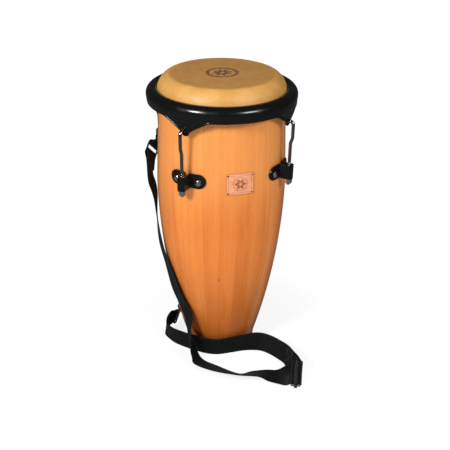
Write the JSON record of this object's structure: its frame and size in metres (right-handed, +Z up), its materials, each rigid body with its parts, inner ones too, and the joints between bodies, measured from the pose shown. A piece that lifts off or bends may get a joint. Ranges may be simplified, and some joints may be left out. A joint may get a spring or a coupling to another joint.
{
  "type": "conga drum",
  "caption": "Small shoulder-strap conga: staved wooden barrel shell, skin head under a black rim pulled down by hook rods and nuts, leather badge, webbing strap with rings and slider.",
  "frame": {"origin": "Centre of the shell's base on the floor plane.", "axes": "+Z up along the drum's axis, -Y towards the badge, +X to the right seen from the badge side; lugs at 45 degrees either side of -Y and +Y."},
  "size_m": [0.2453, 0.3193, 0.5084],
  "materials": {
    "stave_wood": "gloss lacquered pale hardwood staves with vertical grain",
    "black_rubber": "matt moulded rubber",
    "head_skin": "thick amber drum skin, satin",
    "black_gloss_metal": "gloss black enamel over pressed steel",
    "rod_steel": "bright plated steel",
    "plain_steel": "plain plated steel",
    "badge_leather": "veg-tanned leather, embossed",
    "tack_metal": "small domed tack",
    "webbing_black": "woven polyester webbing",
    "black_wire": "black plated wire"
  },
  "bodies": {
    "drum_body": {"shell_staves": "stave_wood", "base_ring": "black_rubber", "tuning_washers": "rod_steel", "side_plate_1": "black_gloss_metal", "side_plate_2": "black_gloss_metal", "side_plate_3": "black_gloss_metal", "side_plate_4": "black_gloss_metal", "backing_plates": "plain_steel", "side_plate_screws": "rod_steel", "side_plate_nuts": "plain_steel", "leather_badge": "badge_leather", "badge_tacks": "tack_metal", "strap_tab": "webbing_black", "tab_screw": "rod_steel", "tab_washer": "rod_steel", "tab_nut": "plain_steel", "strap_slider": "black_wire", "slider_pin": "black_wire", "anchor_saddle": "rod_steel", "anchor_screws": "rod_steel", "strap": "webbing_black"},
    "head_assembly": {"drum_skin": "head_skin", "flesh_hoop": "plain_steel", "tension_rim": "black_gloss_metal", "tuning_hook_1": "rod_steel", "tuning_hook_2": "rod_steel", "tuning_hook_3": "rod_steel", "tuning_hook_4": "rod_steel"},
    "tuning_nut_1_body": {"tuning_nut_1": "rod_steel"},
    "tuning_nut_2_body": {"tuning_nut_2": "rod_steel"},
    "tuning_nut_3_body": {"tuning_nut_3": "rod_steel"},
    "tuning_nut_4_body": {"tuning_nut_4": "rod_steel"},
    "upper_ring_body": {"upper_ring": "black_wire"},
    "lower_ring_body": {"lower_ring": "black_wire"}
  },
  "joints": [
    {"name": "head_tension", "type": "slide", "parent": "drum_body", "child": "head_assembly", "axis": [0, 0, 1], "range_m": [0, 0.006]},
    {"name": "nut_1_turn", "type": "hinge", "parent": "drum_body", "child": "tuning_nut_1_body", "pos_m": [-0.08789, -0.08789, 0.347], "axis": [0, 0, 1], "range_deg": [-1710, 0]},
    {"name": "nut_2_turn", "type": "hinge", "parent": "drum_body", "child": "tuning_nut_2_body", "pos_m": [0.08789, -0.08789, 0.347], "axis": [0, 0, 1], "range_deg": [-1710, 0]},
    {"name": "nut_3_turn", "type": "hinge", "parent": "drum_body", "child": "tuning_nut_3_body", "pos_m": [0.08789, 0.08789, 0.347], "axis": [0, 0, 1], "range_deg": [-1710, 0]},
    {"name": "nut_4_turn", "type": "hinge", "parent": "drum_body", "child": "tuning_nut_4_body", "pos_m": [-0.08789, 0.08789, 0.347], "axis": [0, 0, 1], "range_deg": [-1710, 0]},
    {"name": "upper_ring_swing", "type": "hinge", "parent": "drum_body", "child": "upper_ring_body", "pos_m": [-0.1043, 0.0618, 0.369], "axis": [0.44, 0.64, -0.63], "range_deg": [-12, 35], "deforming": ["strap"]},
    {"name": "lower_ring_swing", "type": "hinge", "parent": "drum_body", "child": "lower_ring_body", "pos_m": [-0.07, 0.03235, 0.04089], "axis": [-0.4195, -0.9078, 0], "range_deg": [-20, 30], "deforming": ["strap"]}
  ],
  "couplings": [
    {"joint": "nut_1_turn", "follows": "head_tension", "rad_per_m": -4947.4},
    {"joint": "nut_2_turn", "follows": "head_tension", "rad_per_m": -4947.4},
    {"joint": "nut_3_turn", "follows": "head_tension", "rad_per_m": -4947.4},
    {"joint": "nut_4_turn", "follows": "head_tension", "rad_per_m": -4947.4}
  ]
}
